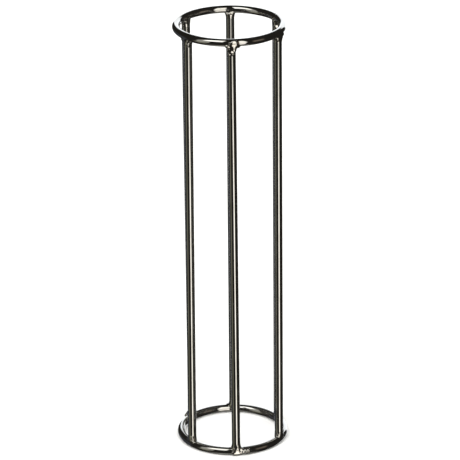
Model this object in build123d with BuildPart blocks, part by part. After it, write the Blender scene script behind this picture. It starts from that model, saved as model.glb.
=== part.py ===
from build123d import *
from math import degrees
import os

# A free-standing umbrella stand: two closed wire rings held apart by six upright bars. It is all
# solid steel, welded where a bar meets a ring, and chrome plated. Umbrellas drop in through the top
# ring and stand on the floor inside the bottom one.
# +Z is up. The origin is on the floor, under the middle of the stand. Lengths are in mm, angles in
# degrees about the stand from +X, and the front faces -Y.

# Driving dimensions
stand_height = 516.0
ring_radius = 61.0  # to the middle of the wire
wire_diameter = 9.0
bar_diameter = 10.0
penetration = 0.6  # how far a bar's end has melted into the wire
seam_gap = 2.0  # between the two ends of a ring's wire, before they are welded

# The bars were set by hand, so the gaps between them differ and some lean a little.
foot_and_head = {
    "front": (-86.5, -88),
    "front_right": (-26, -26),
    "back_right": (27, 27),
    "back": (89, 89),
    "back_left": (143, 145),
    "front_left": (-142, -140.5),
}
seam_bar = "back_right"  # each ring's ends meet at this bar, where its weld hides the seam

# A weld bead's outer form, as ellipses down from the middle of the wire towards the bar's own
# middle. The first lies inside the wire and the last inside the bar, so the bead runs out on both.
bead_sections = [  # (distance down, half length along the ring, half width across it)
    (-2.0, 4.4, 3.6),
    (0.5, 8.2, 5.4),
    (3.0, 9.4, 6.2),
    (5.0, 7.9, 6.2),
    (7.0, 6.2, 5.9),
    (9.5, 5.4, 5.4),
    (12.0, 4.9, 4.9),
]

# Derived values
wire_radius = wire_diameter / 2
ring_heights = {"bottom": wire_radius, "top": stand_height - wire_radius}
bar_end = wire_radius - penetration  # from the middle of a ring's wire to the end of a bar
seam_angle = degrees(seam_gap / ring_radius)


def around_ring(angle, height):
    """The point on a ring's centreline at this angle."""
    return Vector(ring_radius, 0, height).rotate(Axis.Z, angle)


def wire_arc(height, start, turn):
    """A length of bent wire at this height, from one angle through another."""
    along_wire = Vector(0, 1, 0).rotate(Axis.Z, start)
    with BuildPart() as wire:
        with BuildSketch(Plane(origin=around_ring(start, height), z_dir=along_wire)):
            Circle(wire_radius)
        revolve(axis=Axis.Z, revolution_arc=turn)
    return wire.part


def save(piece, name):
    piece.label = name
    export_step(piece, f"parts/{name}.step")


os.makedirs("parts", exist_ok=True)

# Rings, each bent from one length of wire and closed by a seam weld ground flush with it
rings = {}
for level, seam_at in zip(("bottom", "top"), foot_and_head[seam_bar]):
    height = ring_heights[level]
    ring = wire_arc(height, seam_at + seam_angle / 2, 360 - seam_angle)
    seam = wire_arc(height, seam_at - seam_angle / 2, seam_angle)
    save(ring, f"{level}_ring")
    save(seam, f"{level}_ring_seam_weld")
    rings[level] = [ring, seam]

# Upright bars, butted between the rings, with each end hollowed where it has melted into the wire
bars = {}
for place, (foot_angle, head_angle) in foot_and_head.items():
    foot = around_ring(foot_angle, ring_heights["bottom"] + bar_end)
    head = around_ring(head_angle, ring_heights["top"] - bar_end)
    with BuildPart() as bar:
        with BuildSketch(Plane(origin=foot, z_dir=head - foot)):
            Circle(bar_diameter / 2)
        extrude(amount=(head - foot).length)
        add(rings["bottom"] + rings["top"], mode=Mode.SUBTRACT)
    save(bar.part, f"upright_{place}")
    bars[place] = bar.part

# Weld beads, one at each end of each bar, filling the corner all round between bar and wire
for place, angles in foot_and_head.items():
    for level, angle in zip(("bottom", "top"), angles):
        away_from_bar = Vector(0, 0, 1 if level == "top" else -1)
        joint = Plane(
            origin=around_ring(angle, ring_heights[level]),
            x_dir=Vector(0, 1, 0).rotate(Axis.Z, angle),
            z_dir=away_from_bar,
        )
        with BuildPart() as bead:
            for down, along, across in bead_sections:
                with BuildSketch(joint.offset(-down)):
                    Ellipse(along, across)
            loft()
            add([*rings[level], bars[place]], mode=Mode.SUBTRACT)
        save(bead.part, f"{level}_weld_{place}")
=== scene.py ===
from math import atan2, cos, pi, radians, sin

import bpy
from mathutils import Matrix, Vector


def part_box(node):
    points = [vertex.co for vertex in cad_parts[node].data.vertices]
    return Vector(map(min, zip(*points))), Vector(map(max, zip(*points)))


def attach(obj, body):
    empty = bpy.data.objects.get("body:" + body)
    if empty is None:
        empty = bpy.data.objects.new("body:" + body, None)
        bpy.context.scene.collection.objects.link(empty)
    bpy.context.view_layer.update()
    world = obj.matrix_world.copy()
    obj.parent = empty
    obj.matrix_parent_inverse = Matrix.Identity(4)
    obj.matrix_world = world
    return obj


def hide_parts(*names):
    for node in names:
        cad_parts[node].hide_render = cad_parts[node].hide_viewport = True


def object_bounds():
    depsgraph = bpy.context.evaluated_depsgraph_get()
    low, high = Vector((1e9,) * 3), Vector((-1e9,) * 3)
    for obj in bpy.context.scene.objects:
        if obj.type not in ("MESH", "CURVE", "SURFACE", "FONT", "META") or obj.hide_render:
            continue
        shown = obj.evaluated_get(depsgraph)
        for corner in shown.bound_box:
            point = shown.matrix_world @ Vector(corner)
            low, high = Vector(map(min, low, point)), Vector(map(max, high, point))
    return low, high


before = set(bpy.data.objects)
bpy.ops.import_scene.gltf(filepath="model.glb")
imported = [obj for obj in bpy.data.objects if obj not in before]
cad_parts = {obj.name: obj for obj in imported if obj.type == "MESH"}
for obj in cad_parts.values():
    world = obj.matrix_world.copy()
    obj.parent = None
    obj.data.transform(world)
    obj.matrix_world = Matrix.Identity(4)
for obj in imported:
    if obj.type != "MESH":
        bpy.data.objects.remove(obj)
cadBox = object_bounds()
mm = 0.001

# What the frame says about the stand. A weld node's box is centred on its joint.
places = [name[len("upright_"):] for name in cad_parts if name.startswith("upright_")]
levels = {"top": 1, "bottom": -1}  # which way a ring lies from its bars


def nodeMiddle(name):
    low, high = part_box(name)
    return (low + high) / 2


ringLow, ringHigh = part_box("top_ring")
wireRadius = (ringHigh.z - ringLow.z) / 2
ringRadius = (ringHigh.x - ringLow.x) / 2 - wireRadius
barLow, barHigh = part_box("upright_back")
barRadius = (barHigh.x - barLow.x) / 2
ringHeight = {level: nodeMiddle(level + "_ring").z for level in levels}
joints = {}
for level in levels:
    for placeName in places:
        middle = nodeMiddle(f"{level}_weld_{placeName}")
        angle = atan2(middle.y, middle.x)
        at = (ringRadius * cos(angle), ringRadius * sin(angle), ringHeight[level])
        joints[level, placeName] = Vector(at)
seamPlace = "back_right"  # each ring's ends meet at this bar
seamAngle = {level: atan2(joints[level, seamPlace].y, joints[level, seamPlace].x) for level in levels}
print(f"frame read: radii in mm are ring {ringRadius / mm:.1f}, wire {wireRadius / mm:.2f}, "
      f"bars {barRadius / mm:.2f}")


# Small helpers

def deselectAll():
    if bpy.context.object and bpy.context.object.mode != "OBJECT":
        bpy.ops.object.mode_set(mode="OBJECT")
    bpy.ops.object.select_all(action="DESELECT")


def newPiece(name):
    piece = bpy.context.object
    piece.name = name
    piece.data.name = name
    return piece


def place(piece, matrix):
    # the piece's place goes into its mesh, so that its object stays at the origin
    piece.data.transform(matrix @ piece.matrix_world)
    piece.matrix_world = Matrix.Identity(4)


def joinPieces(pieces, name):
    deselectAll()
    for piece in pieces:
        piece.select_set(True)
    bpy.context.view_layer.objects.active = pieces[0]
    bpy.ops.object.join()
    return newPiece(name)


def applyModifier(piece, kind, **settings):
    deselectAll()
    piece.select_set(True)
    bpy.context.view_layer.objects.active = piece
    modifier = piece.modifiers.new(kind.title(), kind)
    for key, value in settings.items():
        setattr(modifier, key, value)
    bpy.ops.object.modifier_apply(modifier=modifier.name)


def shadeSmooth(piece, angle=40):
    deselectAll()
    piece.select_set(True)
    bpy.context.view_layer.objects.active = piece
    bpy.ops.object.shade_smooth_by_angle(angle=radians(angle))


def outwards(piece):
    deselectAll()
    bpy.context.view_layer.objects.active = piece
    bpy.ops.object.mode_set(mode="EDIT")
    bpy.ops.mesh.select_all(action="SELECT")
    bpy.ops.mesh.remove_doubles(threshold=0.00001)
    bpy.ops.mesh.normals_make_consistent(inside=False)
    bpy.ops.object.mode_set(mode="OBJECT")


def linear(hexColour):
    # an sRGB hex colour as the linear colour that a shader takes
    channels = [int(hexColour[i:i + 2], 16) / 255 for i in (1, 3, 5)]
    return [c / 12.92 if c <= 0.04045 else ((c + 0.055) / 1.055) ** 2.4 for c in channels] + [1]


def addNode(tree, kind, settings=None, **links):
    # one node: plain settings by name, and sockets by name or number in links ("_3" is socket 3)
    node = tree.nodes.new(kind)
    for key, value in (settings or {}).items():
        setattr(node, key, value)
    for key, value in links.items():
        socket = node.inputs[int(key[1:])] if key[0] == "_" else node.inputs[key.replace("_", " ")]
        if isinstance(value, bpy.types.NodeSocket):
            tree.links.new(value, socket)
        else:
            socket.default_value = value
    return node


# Materials: bright chrome over steel, by how the steel under it was made

def alongRing(tree, here):
    # X runs along the wire, Y outwards and Z up, and X starts again at the seam weld
    turned = addNode(tree, "ShaderNodeMapping", _0=here, Rotation=(0, 0, pi - seamAngle["top"])).outputs[0]
    axes = addNode(tree, "ShaderNodeSeparateXYZ", Vector=turned).outputs
    angle = addNode(tree, "ShaderNodeMath", {"operation": "ARCTAN2"}, _0=axes[1], _1=axes[0]).outputs[0]
    arc = addNode(tree, "ShaderNodeMath", {"operation": "MULTIPLY"}, _0=angle, _1=ringRadius).outputs[0]
    flat = addNode(tree, "ShaderNodeCombineXYZ", X=axes[0], Y=axes[1]).outputs[0]
    fromMiddle = addNode(tree, "ShaderNodeVectorMath", {"operation": "LENGTH"}, _0=flat).outputs["Value"]
    return addNode(tree, "ShaderNodeCombineXYZ", X=arc, Y=fromMiddle, Z=axes[2]).outputs[0]


def alongBar(tree, here):
    # X runs up the bar
    axes = addNode(tree, "ShaderNodeSeparateXYZ", Vector=here).outputs
    return addNode(tree, "ShaderNodeCombineXYZ", X=axes[2], Y=axes[0], Z=axes[1]).outputs[0]


def everyWay(tree, here):
    # weld metal has no grain
    return here


def chromePlate(name, look, grain):
    # Decorative chrome on polished steel: a hard, nearly perfect mirror. What the eye gets is what it
    # reflects, a little wavy from the hand polishing, with the drawing lines of the bar stock just
    # showing through, a patchy haze from wiping, and a few pits.
    material = bpy.data.materials.new(name)
    material.use_nodes = True
    tree = material.node_tree
    tree.nodes.clear()
    here = grain(tree, addNode(tree, "ShaderNodeTexCoord").outputs["Object"])

    def pattern(size, stretch=(1, 1, 1), detail=2.0, roughness=0.5):
        # noise whose features are about this many millimetres across, and longer where stretched
        scale = [1 / (size * mm * factor) for factor in stretch]
        at = addNode(tree, "ShaderNodeMapping", _0=here, Scale=scale).outputs[0]
        return addNode(tree, "ShaderNodeTexNoise", Vector=at, Scale=1.0, Detail=detail,
                       Roughness=roughness).outputs[0]

    def ramp(value, low, high):
        return addNode(tree, "ShaderNodeMapRange", {"interpolation_type": "SMOOTHSTEP"},
                       Value=value, From_Min=low, From_Max=high).outputs[0]

    def bump(height, depth, **normal):
        return addNode(tree, "ShaderNodeBump", Height=height, Strength=1.0, Distance=depth * mm,
                       **normal).outputs[0]

    drawnLines = pattern(look["lineWidth"], look["lineStretch"], detail=1.0)
    wave = pattern(look["waveSize"], look["waveStretch"], detail=0.0)
    haze = ramp(pattern(look["hazeSize"], look["hazeStretch"], detail=4.0, roughness=0.6),
                *look["hazeRange"])
    pits = ramp(pattern(look["pitSize"], detail=0.0), *look["pitRange"])
    colour = addNode(tree, "ShaderNodeMix", {"data_type": "RGBA"}, _0=haze,
                     _6=linear(look["plate"]), _7=linear(look["hazed"])).outputs[2]
    colour = addNode(tree, "ShaderNodeMix", {"data_type": "RGBA"}, _0=pits,
                     _6=colour, _7=linear(look["pit"])).outputs[2]
    smooth, dull = look["roughness"]
    worn = addNode(tree, "ShaderNodeMath", {"operation": "MULTIPLY"}, _0=drawnLines, _1=haze).outputs[0]
    roughness = addNode(tree, "ShaderNodeMapRange", Value=worn, From_Min=0.0, From_Max=0.6,
                        To_Min=smooth, To_Max=dull).outputs[0]
    surface = bump(wave, look["waveDepth"])
    surface = bump(drawnLines, look["lineDepth"], Normal=surface)
    surface = bump(pits, -look["pitDepth"], Normal=surface)
    shader = addNode(tree, "ShaderNodeBsdfPrincipled", Base_Color=colour, Metallic=1.0,
                     Roughness=roughness, Normal=surface)
    addNode(tree, "ShaderNodeOutputMaterial", Surface=shader.outputs[0])
    return material


# Sizes and depths are in mm. Real drawing lines are about 0.05 mm apart, and are drawn ten times as
# coarse so that they show.
barLook = {  # round bar, drawn straight, then polished along its length
    "plate": "#c4c3bf", "hazed": "#b5b3ac", "pit": "#5a564e",
    "roughness": (0.03, 0.09),
    "lineWidth": 0.5, "lineStretch": (100, 1, 1), "lineDepth": 0.003,
    "hazeSize": 9, "hazeStretch": (4, 1, 1), "hazeRange": (0.42, 0.72),
    "waveSize": 7, "waveStretch": (9, 1, 1), "waveDepth": 0.04,
    "pitSize": 0.8, "pitDepth": 0.015, "pitRange": (0.8, 0.88),
}
# wire of the same stock, rolled into a ring, which leaves it a little wavier
wireLook = dict(barLook, waveSize=9, waveStretch=(3, 1, 1), waveDepth=0.06)
# weld metal is lumpy and rippled under the plating, and can't be polished in its hollows
weldLook = dict(barLook, plate="#c8c6c0", hazed="#b0aca2", roughness=(0.035, 0.13),
                lineWidth=0.9, lineStretch=(1, 1, 1), lineDepth=0.02, hazeSize=5, hazeStretch=(1, 1, 1),
                waveSize=2.2, waveStretch=(1, 1, 1), waveDepth=0.08, pitSize=0.7, pitDepth=0.02)
barChrome = chromePlate("brightChromeOnDrawnBar", barLook, alongBar)
wireChrome = chromePlate("brightChromeOnBentWire", wireLook, alongRing)
weldChrome = chromePlate("brightChromeOnWeldBead", weldLook, everyWay)
print("materials made")


def finishPiece(piece, material, slot, *nodes):
    piece.data.materials.clear()
    piece.data.materials.append(material)
    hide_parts(*nodes)
    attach(piece, "root")


def roundStock(radius, sections, facets):
    # round stock drawn up the Z axis: each section is (height, share of the radius)
    height, share = sections[0]
    deselectAll()
    bpy.ops.mesh.primitive_circle_add(vertices=facets, radius=radius * share, fill_type="NGON",
                                      location=(0, 0, height))
    stock = bpy.context.object
    bpy.ops.object.mode_set(mode="EDIT")
    bpy.ops.mesh.select_all(action="SELECT")
    for nextHeight, nextShare in sections[1:]:
        bpy.ops.mesh.extrude_region_move(
            TRANSFORM_OT_translate={"value": (0, 0, nextHeight - height)})
        bpy.ops.transform.resize(value=(nextShare / share, nextShare / share, 1),
                                 center_override=(0, 0, nextHeight))
        height, share = nextHeight, nextShare
    bpy.ops.object.mode_set(mode="OBJECT")
    return stock


def bentWire(radius, bendRadius, angle, steps, facets):
    # wire bent about the Z axis, from the X axis on, with flat cut ends
    deselectAll()
    bpy.ops.mesh.primitive_circle_add(vertices=facets, radius=radius, fill_type="NGON",
                                      rotation=(pi / 2, 0, 0), location=(bendRadius, 0, 0))
    wire = bpy.context.object
    bpy.ops.object.mode_set(mode="EDIT")
    bpy.ops.mesh.select_all(action="SELECT")
    # a spin turns clockwise about its axis, so the axis points down
    bpy.ops.mesh.spin(steps=steps, angle=angle, center=(0, 0, 0), axis=(0, 0, -1))
    bpy.ops.object.mode_set(mode="OBJECT")
    return wire


# Rings, each bent from one length of wire whose chamfered ends are welded together

ringForm = {"facets": 48, "steps": 288, "gap": 2.0 * mm, "endChamfer": 0.7 * mm, "chamferSteps": 2}
seamForm = {
    "facets": 48,
    # (distance from the middle of the weld in mm, share of the wire's radius): ground flush with the
    # wire, with a fine undercut line left at each side
    "sections": [(-1.75, 0.94), (-1.6, 0.975), (-1.3, 0.995), (-0.8, 1.0), (0.0, 1.0),
                 (0.8, 1.0), (1.3, 0.995), (1.6, 0.975), (1.75, 0.94)],
}


def makeRing(level):
    gapAngle = ringForm["gap"] / ringRadius
    ring = bentWire(wireRadius, ringRadius, 2 * pi - gapAngle, ringForm["steps"], ringForm["facets"])
    outwards(ring)
    applyModifier(ring, "BEVEL", width=ringForm["endChamfer"],
                  segments=ringForm["chamferSteps"], limit_method="ANGLE")
    ring = newPiece(f"{level}Ring")
    turn = Matrix.Rotation(seamAngle[level] + gapAngle / 2, 4, "Z")
    place(ring, Matrix.Translation((0, 0, ringHeight[level])) @ turn)
    shadeSmooth(ring, 30)
    finishPiece(ring, wireChrome, "ring_chrome", f"{level}_ring")
    return ring


def makeSeam(level):
    sections = [(distance * mm, share) for distance, share in seamForm["sections"]]
    seam = roundStock(wireRadius, sections, seamForm["facets"])
    outwards(seam)
    seam = newPiece(f"{level}SeamWeld")
    along = Vector((-sin(seamAngle[level]), cos(seamAngle[level]), 0))
    at = Matrix.Translation(joints[level, seamPlace])
    place(seam, at @ along.to_track_quat("Z", "Y").to_matrix().to_4x4())
    shadeSmooth(seam, 50)
    finishPiece(seam, weldChrome, "weld_chrome", f"{level}_ring_seam_weld")
    return seam


for level in levels:
    makeRing(level)
    makeSeam(level)
print("rings made")


# Bars, cut to length and hollowed at both ends to sit on the wires. One is made and the rest copied.

barForm = {
    "facets": 48, "steps": 42,
    "saddleSweep": 24, "saddleSteps": 24, "saddleFacets": 64,  # of the wire that hollows a bar's end
}


def makeBarPattern():
    low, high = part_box("upright_back")
    length = high.z - low.z
    span = ringHeight["top"] - ringHeight["bottom"]
    heights = [length * (step / barForm["steps"] - 0.5) for step in range(barForm["steps"] + 1)]
    bar = roundStock(barRadius, [(height, 1) for height in heights], barForm["facets"])
    outwards(bar)
    for end in (-0.5, 0.5):
        sweep = radians(barForm["saddleSweep"])
        wire = bentWire(wireRadius, ringRadius, sweep, barForm["saddleSteps"], barForm["saddleFacets"])
        # the ring's own curve, with its middle in line with the bar
        place(wire, Matrix.Translation((-ringRadius, 0, span * end)) @ Matrix.Rotation(-sweep / 2, 4, "Z"))
        outwards(wire)
        applyModifier(bar, "BOOLEAN", operation="DIFFERENCE", solver="EXACT", object=wire)
        bpy.data.objects.remove(wire)
    outwards(bar)
    return bar


def copyBar(pattern, placeName):
    # the pattern's X axis faces outwards from the stand
    foot, head = joints["bottom", placeName], joints["top", placeName]
    up = (head - foot).normalized()
    out = Vector((foot.x + head.x, foot.y + head.y, 0)).normalized()
    side = up.cross(out).normalized()
    axes = Matrix((side.cross(up), side, up)).transposed().to_4x4()
    bar = pattern.copy()
    bar.data = pattern.data.copy()
    bpy.context.collection.objects.link(bar)
    bar.name = bar.data.name = f"bar_{placeName}"
    place(bar, Matrix.Translation((foot + head) / 2) @ axes)
    shadeSmooth(bar)
    finishPiece(bar, barChrome, "bar_chrome", f"upright_{placeName}")
    return bar


barPattern = makeBarPattern()
for placeName in places:
    copyBar(barPattern, placeName)
bpy.data.objects.remove(barPattern)
print("bars made")


# Weld beads, each laid round the end of a bar. In a joint's own axes X runs along the wire, Y
# outwards from the stand and Z away from the bar, all in mm from the middle of the wire.

beadForm = {
    "flare": [  # (down the bar, half length along the wire, half width across it)
        (-2.0, 4.2, 3.4), (0.5, 6.6, 4.2), (3.0, 7.4, 4.7), (5.0, 6.3, 5.1),
        (7.0, 5.5, 5.2), (9.5, 5.1, 5.1), (12.0, 4.9, 4.9),
    ],
    "facets": 40,
    "grain": 0.34,  # voxel size
    "melt": 30,  # smoothing passes
    "sunk": 0.06,  # how far the wire and bar inside a bead lie below the real ones
    "stubFacets": 32, "wireSteps": 16,
    "barHeights": (-16, -10, -3.9),  # of the bar inside it
    "reach": 11, "longReach": 17,  # of the wire inside it, each way: long if a blob lies past "longPast"
    "longPast": 9,
}
# What each weld has besides its flare: blobs as (along, outwards, up, half sizes the same three ways),
# and for one that isn't square to the wire, its turn about the bar in degrees
blobs = {
    ("top", "front"): [
        (3.4, 4.0, -0.6, 6.4, 1.7, 4.6, -10), (2.6, 3.6, -6.6, 3.4, 2.2, 4.8, -8),
        (6.4, 1.2, -3.4, 4.0, 3.2, 3.0), (-4.4, 3.0, -3.2, 3.4, 2.4, 2.4),
        (-3.0, 3.4, -7.4, 2.4, 2.0, 3.0), (-2.8, 3.5, -12.0, 1.9, 1.6, 2.6),
        (1.2, 4.0, -11.8, 2.0, 1.6, 3.2), (-0.6, 3.8, -8.8, 3.0, 2.0, 3.4)],
    ("top", "front_left"): [
        (-5.5, 1.4, -4.2, 4.0, 2.8, 1.9), (-3.4, 1.5, -6.0, 3.0, 3.2, 2.8),
        (-1.6, 1.4, -8.4, 3.0, 3.4, 3.4), (3.3, 2.8, -8.4, 2.3, 1.9, 2.4),
        (2.4, 2.2, -4.0, 3.0, 2.4, 2.8)],
    ("top", "front_right"): [
        (5.6, 2.5, -3.2, 4.6, 2.8, 2.4), (3.4, 2.0, -5.8, 3.0, 3.2, 2.8),
        (1.6, 1.6, -8.6, 3.0, 3.6, 3.8), (-3.2, 1.6, -4.8, 2.6, 2.4, 5.8)],
    ("top", "back"): [
        (3.4, -3.8, -4.6, 1.6, 1.7, 1.5), (-2.8, -3.8, -5.1, 1.6, 1.7, 1.4),
        (0.4, -4.3, -4.8, 1.9, 1.6, 1.8)],
    ("top", "back_left"): [
        (4.6, 0.2, -5.6, 2.0, 2.0, 1.9), (3.7, -2.8, -5.2, 1.7, 1.7, 1.7),
        (4.7, 0.9, -8.9, 1.7, 1.7, 2.0), (2.0, -3.8, -1.4, 2.6, 1.6, 2.2)],
    ("top", "back_right"): [
        (4.2, 2.5, 1.9, 2.2, 2.1, 1.8), (7.4, -1.6, 1.7, 1.7, 1.9, 1.7),
        (-4.8, -0.6, -5.4, 1.7, 1.7, 1.8), (-2.4, -4.1, -3.0, 2.0, 1.9, 2.0),
        (1.2, -4.4, -1.0, 2.2, 1.5, 2.2), (-3.0, -3.2, -8.6, 1.6, 1.7, 2.2)],
    ("bottom", "front"): [
        (1.4, 4.2, -1.2, 5.4, 1.5, 5.6, -9), (1.2, 4.0, -6.0, 2.6, 1.7, 3.6),
        (2.2, 3.9, 0.8, 8.4, 1.6, 3.4, -10), (5.6, 2.4, -2.8, 3.0, 2.4, 2.6),
        (7.6, 2.2, -0.4, 2.8, 2.8, 3.6, -9), (11.0, 2.3, -0.2, 2.7, 2.7, 3.5, -9),
        (14.4, 2.1, -0.4, 2.5, 2.7, 3.2, -9)],
    ("bottom", "front_left"): [
        (3.2, 2.7, -9.4, 1.7, 1.7, 2.4), (3.6, 2.2, -6.4, 1.7, 1.7, 1.7),
        (4.6, 2.4, -3.8, 2.0, 2.0, 2.0), (-2.8, 3.4, -4.6, 2.8, 1.8, 3.6)],
    ("bottom", "front_right"): [
        (-4.0, 0.8, -6.8, 1.7, 1.8, 2.2), (-4.4, 1.0, -3.4, 2.0, 2.1, 2.0),
        (2.2, 3.3, -4.2, 2.8, 1.9, 3.6)],
    ("bottom", "back"): [
        (7.0, 0.6, -4.0, 1.9, 2.0, 1.7), (-4.0, -2.8, -4.6, 2.0, 2.0, 1.8),
        (0.6, -4.4, -3.6, 2.4, 1.7, 2.2)],
    ("bottom", "back_left"): [
        (2.9, 3.8, -1.6, 4.6, 2.6, 3.6, 53), (2.2, 2.9, -4.6, 3.6, 2.6, 3.6, 53),
        (4.6, -0.6, -4.6, 2.0, 2.2, 2.0), (-3.0, -3.8, -3.8, 2.0, 1.8, 2.0)],
    ("bottom", "back_right"): [
        (-4.2, -2.4, -4.2, 2.1, 2.1, 2.0), (-2.4, -4.1, -6.2, 1.7, 1.7, 2.0),
        (3.4, -3.2, -3.6, 2.0, 2.0, 2.0)],
}


def flaredPost(form):
    # an ellipse drawn up section by section, closed at both ends
    down, along, across = form["flare"][0]
    deselectAll()
    bpy.ops.mesh.primitive_circle_add(vertices=form["facets"], radius=1, fill_type="NGON",
                                      location=(0, 0, 0))
    post = bpy.context.object
    bpy.ops.object.mode_set(mode="EDIT")
    bpy.ops.transform.resize(value=(along, across, 1))
    bpy.ops.transform.translate(value=(0, 0, -down))
    for nextDown, nextAlong, nextAcross in form["flare"][1:]:
        bpy.ops.mesh.extrude_region_move(TRANSFORM_OT_translate={"value": (0, 0, down - nextDown)})
        bpy.ops.transform.resize(value=(nextAlong / along, nextAcross / across, 1),
                                 center_override=(0, 0, -nextDown))
        down, along, across = nextDown, nextAlong, nextAcross
    bpy.ops.object.mode_set(mode="OBJECT")
    return post


def wireStub(reach):
    # the length of the ring's own wire that runs through the joint
    bend = ringRadius / mm
    sweep = 2 * reach / bend
    radius = wireRadius / mm - beadForm["sunk"]
    stub = bentWire(radius, bend, sweep, beadForm["wireSteps"], beadForm["stubFacets"])
    # turned so that its middle lies at the joint, with the ring's middle behind it
    place(stub, Matrix.Translation((0, -bend, 0)) @ Matrix.Rotation(pi / 2 - sweep / 2, 4, "Z"))
    return stub


def blob(along, out, up, halfAlong, halfOut, halfUp, turn=0):
    deselectAll()
    bpy.ops.mesh.primitive_ico_sphere_add(subdivisions=3, radius=1, location=(0, 0, 0))
    ball = bpy.context.object
    bpy.ops.object.mode_set(mode="EDIT")
    bpy.ops.transform.resize(value=(halfAlong, halfOut, halfUp))
    bpy.ops.object.mode_set(mode="OBJECT")
    place(ball, Matrix.Translation((along, out, up)) @ Matrix.Rotation(radians(turn), 4, "Z"))
    return ball


def makeBead(level, placeName):
    joint = joints[level, placeName]
    extras = blobs[level, placeName]
    furthest = max(abs(along) for along, *rest in extras)
    reach = beadForm["longReach"] if furthest > beadForm["longPast"] else beadForm["reach"]
    barStub = roundStock(barRadius / mm - beadForm["sunk"],
                         [(height, 1) for height in beadForm["barHeights"]], beadForm["stubFacets"])
    parts = [flaredPost(beadForm), barStub, wireStub(reach)]
    parts += [blob(*extra) for extra in extras]
    for part in parts:
        outwards(part)
    bead = joinPieces(parts, f"{level}Bead_{placeName}")
    place(bead, Matrix.Identity(4))
    applyModifier(bead, "REMESH", mode="VOXEL", voxel_size=beadForm["grain"])
    applyModifier(bead, "SMOOTH", factor=0.5, iterations=beadForm["melt"])
    angle = atan2(joint.y, joint.x)
    up = levels[level]
    axes = Matrix(((-sin(angle), cos(angle), 0, joint.x), (cos(angle), sin(angle), 0, joint.y),
                   (0, 0, up, joint.z), (0, 0, 0, 1)))
    place(bead, axes @ Matrix.Scale(mm, 4))
    outwards(bead)
    shadeSmooth(bead, 80)
    finishPiece(bead, weldChrome, "weld_chrome", f"{level}_weld_{placeName}")
    return bead


for level in levels:
    for placeName in places:
        makeBead(level, placeName)
print("weld beads made")


# Floor, studio and camera

stageLook = {
    "floorSize": 40, "floorColour": "#f4f4f2", "floorShade": "#f0f0ee",
    "lampStrength": 3.7, "lampSpread": 80, "lampLean": 12,
}
bpy.ops.mesh.primitive_plane_add(size=stageLook["floorSize"], location=(0, 0, 0))
floor = newPiece("studioFloor")
floorPaint = bpy.data.materials.new("mattWhiteFloorPaint")
floorPaint.use_nodes = True
floorTree = floorPaint.node_tree
floorTree.nodes.clear()
floorAt = addNode(floorTree, "ShaderNodeTexCoord").outputs["Object"]
mottle = addNode(floorTree, "ShaderNodeTexNoise", Vector=floorAt, Scale=3.0, Detail=3.0).outputs[0]
floorColour = addNode(floorTree, "ShaderNodeMix", {"data_type": "RGBA"}, _0=mottle,
                      _6=linear(stageLook["floorColour"]), _7=linear(stageLook["floorShade"]))
floorShader = addNode(floorTree, "ShaderNodeBsdfPrincipled", Base_Color=floorColour.outputs[2],
                      Roughness=0.9)
addNode(floorTree, "ShaderNodeOutputMaterial", Surface=floorShader.outputs[0])
floor.data.materials.append(floorPaint)
floor.visible_glossy = False

bpy.ops.object.light_add(type="SUN", rotation=(radians(stageLook["lampLean"]), 0, 0))
lamp = bpy.context.object
lamp.name = "softOverhead"
lamp.data.energy = stageLook["lampStrength"]
lamp.data.angle = radians(stageLook["lampSpread"])
lamp.visible_glossy = False

# The studio round the stand is dark, with pale panels in it. Each is (azimuth, elevation) of its
# middle and its half widths in degrees, from the front and positive to the right and up, then how
# soft its edge is, its colour and its strength.
studioPanels = {
    "rightLow": (21, -31, 13, 11.8, 3, "#fffaf4", 2.1),
    "rightMiddle": (21, -11, 13, 8.2, 3, "#fffaf4", 0.9),
    "rightHigh": (21, 26, 13.5, 29, 6, "#fffcf6", 1.9),
    "leftTall": (-54, 22, 14, 36, 6, "#f6f4ec", 0.55),
    "leftHigh": (-37, 54, 23, 21, 5, "#ffffff", 2.2),
    "leftLow": (-64, -28, 13, 14, 6, "#dcdcc4", 0.32),
    "leftBehind": (-122, -20, 24, 14, 8, "#b8c4dc", 0.1),
    "warmRight": (60, 6, 12, 18, 8, "#f0dcc8", 0.22),
    "backdrop": (170, 8, 24, 18.5, 5, "#eef2f8", 1.8),
    "backStrip": (158, -24, 8, 16, 4, "#f4f6fa", 1.2),
    "floorBehind": (181, -22, 13, 13, 5, "#f2f4f8", 1.3),
    "nearFloor": (0, -90, 180, 22, 16, "#e8e8e2", 0.55),
}
darkRoom = "#2b2926"


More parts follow.
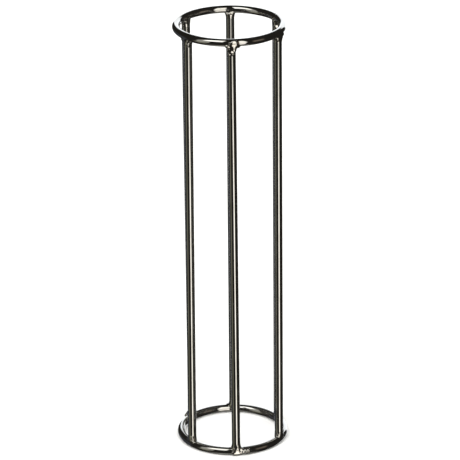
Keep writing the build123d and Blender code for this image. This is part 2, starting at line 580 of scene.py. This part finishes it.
def makeStudio():
    world = bpy.data.worlds.new("darkStudio")
    bpy.context.scene.world = world
    world.use_nodes = True
    tree = world.node_tree
    tree.nodes.clear()

    def mathNode(operation, first, second=0.0):
        return addNode(tree, "ShaderNodeMath", {"operation": operation}, _0=first, _1=second).outputs[0]

    toward = addNode(tree, "ShaderNodeTexCoord").outputs["Generated"]
    axes = addNode(tree, "ShaderNodeSeparateXYZ", Vector=toward).outputs
    azimuth = mathNode("ARCTAN2", axes[0], mathNode("MULTIPLY", axes[1], -1.0))
    elevation = mathNode("ARCSINE", axes[2])
    total = addNode(tree, "ShaderNodeRGB").outputs[0]
    total.default_value = linear(darkRoom)
    for panelAzimuth, panelElevation, halfWide, halfHigh, soft, colour, strength in studioPanels.values():
        across = addNode(tree, "ShaderNodeMath", {"operation": "WRAP"},
                         _0=mathNode("SUBTRACT", azimuth, radians(panelAzimuth)), _1=pi, _2=-pi).outputs[0]
        upward = mathNode("SUBTRACT", elevation, radians(panelElevation))
        share = None
        for offset, half in ((across, halfWide), (upward, halfHigh)):
            inside = addNode(tree, "ShaderNodeMapRange", {"interpolation_type": "SMOOTHSTEP"},
                             Value=mathNode("ABSOLUTE", offset), From_Min=radians(half + soft / 2),
                             From_Max=radians(half - soft / 2)).outputs[0]
            share = mathNode("MULTIPLY", share, inside) if share else inside
        lit = [channel * strength for channel in linear(colour)[:3]] + [1]
        total = addNode(tree, "ShaderNodeMix", {"data_type": "RGBA", "blend_type": "ADD"},
                        _0=share, _6=total, _7=lit).outputs[2]
    background = addNode(tree, "ShaderNodeBackground", Color=total, Strength=1.0)
    addNode(tree, "ShaderNodeOutputWorld", Surface=background.outputs[0])


makeStudio()

cameraView = {
    "lens": 275.7,
    "elevation": 21.76, "roll": 0.51,  # degrees
    "distance": 67.44, "aim": (-0.0194, 0, 0.0402),  # in ring radii, from the stand's middle
}


def makeCamera():
    middle = (cadBox[0] + cadBox[1]) / 2
    middle.x = middle.y = 0
    tilt = radians(cameraView["elevation"])
    back = Vector((0, -cos(tilt), sin(tilt)))
    bpy.ops.object.camera_add(location=middle + back * cameraView["distance"] * ringRadius)
    camera = bpy.context.object
    towards = middle + Vector(cameraView["aim"]) * ringRadius - camera.location
    turned = towards.to_track_quat("-Z", "Y").to_matrix().to_4x4()
    roll = Matrix.Rotation(radians(-cameraView["roll"]), 4, "Z")
    camera.matrix_world = Matrix.Translation(camera.location) @ turned @ roll
    camera.data.lens = cameraView["lens"]
    camera.data.sensor_width = 36
    bpy.context.scene.camera = camera


makeCamera()
bpy.context.scene.view_settings.view_transform = "Standard"
print("stage set")
